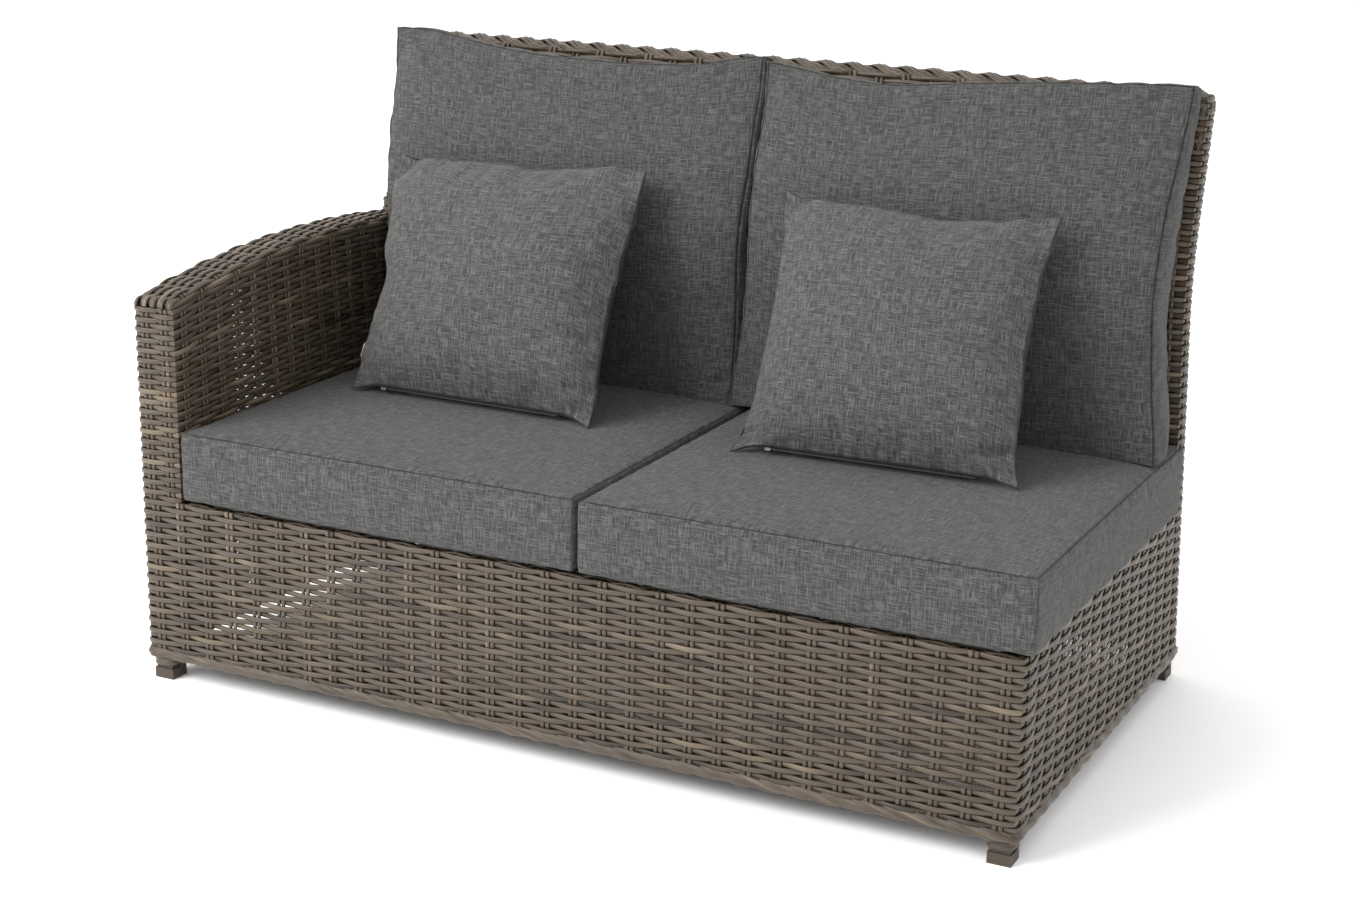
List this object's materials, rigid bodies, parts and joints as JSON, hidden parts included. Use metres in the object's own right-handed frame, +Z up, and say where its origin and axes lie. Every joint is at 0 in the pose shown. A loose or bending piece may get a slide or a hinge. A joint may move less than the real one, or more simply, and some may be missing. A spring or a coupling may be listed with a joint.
{
  "type": "woven garden sofa section",
  "caption": "Two-seat woven garden sofa section with one curved arm, high curved back and loose seat, back and scatter cushions.",
  "frame": {"origin": "on the floor, under the middle of the whole outline", "axes": "+X to the right as seen from the front, towards the end without an arm; +Y towards the back; +Z up"},
  "size_m": [1.4614, 0.818, 0.9768],
  "materials": {
    "wicker": "satin",
    "frame_tube": "satin",
    "cushion_fabric": "matte",
    "foot_cap": "matte",
    "zip_tape": "matte",
    "zip_metal": "satin",
    "label_fabric": "matte"
  },
  "bodies": {
    "frame": {"arm_inner_bottom_rail": "frame_tube", "arm_inner_front_post": "frame_tube", "arm_inner_rear_post": "frame_tube", "arm_inner_top_rail": "frame_tube", "arm_outer_top_rail": "frame_tube", "back_centre_upright": "frame_tube", "back_top_rail": "frame_tube", "base_front_bottom_rail": "frame_tube", "base_front_top_rail": "frame_tube", "base_rear_bottom_rail": "frame_tube", "base_rear_top_rail": "frame_tube", "base_left_bottom_rail": "frame_tube", "base_left_top_rail": "frame_tube", "base_right_bottom_rail": "frame_tube", "base_right_top_rail": "frame_tube", "seat_cross_bar_1": "frame_tube", "seat_cross_bar_2": "frame_tube", "seat_cross_bar_3": "frame_tube", "front_leg_right": "frame_tube", "front_post_left": "frame_tube", "rear_upright_left": "frame_tube", "rear_upright_right": "frame_tube", "foot_cap_front_left": "foot_cap", "foot_cap_front_right": "foot_cap", "foot_cap_rear_left": "foot_cap", "foot_cap_rear_right": "foot_cap", "leg_wrap_front_left": "wicker", "leg_wrap_front_right": "wicker", "leg_wrap_rear_left": "wicker", "leg_wrap_rear_right": "wicker", "wicker_front_skirt": "wicker", "wicker_arm_front": "wicker", "wicker_left_side": "wicker", "wicker_right_side": "wicker", "wicker_arm_inner": "wicker", "wicker_arm_top": "wicker", "wicker_back_rear": "wicker", "wicker_back_front": "wicker", "wicker_back_left_edge": "wicker", "wicker_back_right_edge": "wicker", "wicker_back_top": "wicker", "wicker_seat_deck": "wicker"},
    "seat_cushion_left": {"seat_cushion_left": "cushion_fabric"},
    "back_cushion_left": {"back_cushion_left": "cushion_fabric"},
    "scatter_cushion_left": {"scatter_cushion_left": "cushion_fabric", "zip_left": "zip_tape", "sewn_label": "label_fabric"},
    "zip_slider_left": {"zip_slider_left": "zip_metal"},
    "seat_cushion_right": {"seat_cushion_right": "cushion_fabric"},
    "back_cushion_right": {"back_cushion_right": "cushion_fabric"},
    "scatter_cushion_right": {"scatter_cushion_right": "cushion_fabric", "zip_right": "zip_tape"},
    "zip_slider_right": {"zip_slider_right": "zip_metal"}
  },
  "joints": [
    {"name": "seat_cushion_left_lift", "type": "slide", "parent": "frame", "child": "seat_cushion_left", "axis": [0, -0.2, 0.9798], "range_m": [0, 0.7]},
    {"name": "back_cushion_left_lift", "type": "slide", "parent": "seat_cushion_left", "child": "back_cushion_left", "axis": [0, -0.2, 0.9798], "range_m": [0, 0.6]},
    {"name": "scatter_cushion_left_lift", "type": "slide", "parent": "back_cushion_left", "child": "scatter_cushion_left", "axis": [0, -0.3401, 0.9404], "range_m": [0, 0.5]},
    {"name": "zip_slider_left_run", "type": "slide", "parent": "scatter_cushion_left", "child": "zip_slider_left", "axis": [0.9998, -0.0175, 0], "range_m": [0, 0.315]},
    {"name": "seat_cushion_right_lift", "type": "slide", "parent": "frame", "child": "seat_cushion_right", "axis": [0, -0.2, 0.9798], "range_m": [0, 0.7]},
    {"name": "back_cushion_right_lift", "type": "slide", "parent": "seat_cushion_right", "child": "back_cushion_right", "axis": [0, -0.2, 0.9798], "range_m": [0, 0.6]},
    {"name": "scatter_cushion_right_lift", "type": "slide", "parent": "back_cushion_right", "child": "scatter_cushion_right", "axis": [0, -0.3401, 0.9404], "range_m": [0, 0.5]},
    {"name": "zip_slider_right_run", "type": "slide", "parent": "scatter_cushion_right", "child": "zip_slider_right", "axis": [0.9994, 0.0349, 0], "range_m": [0, 0.315]}
  ]
}
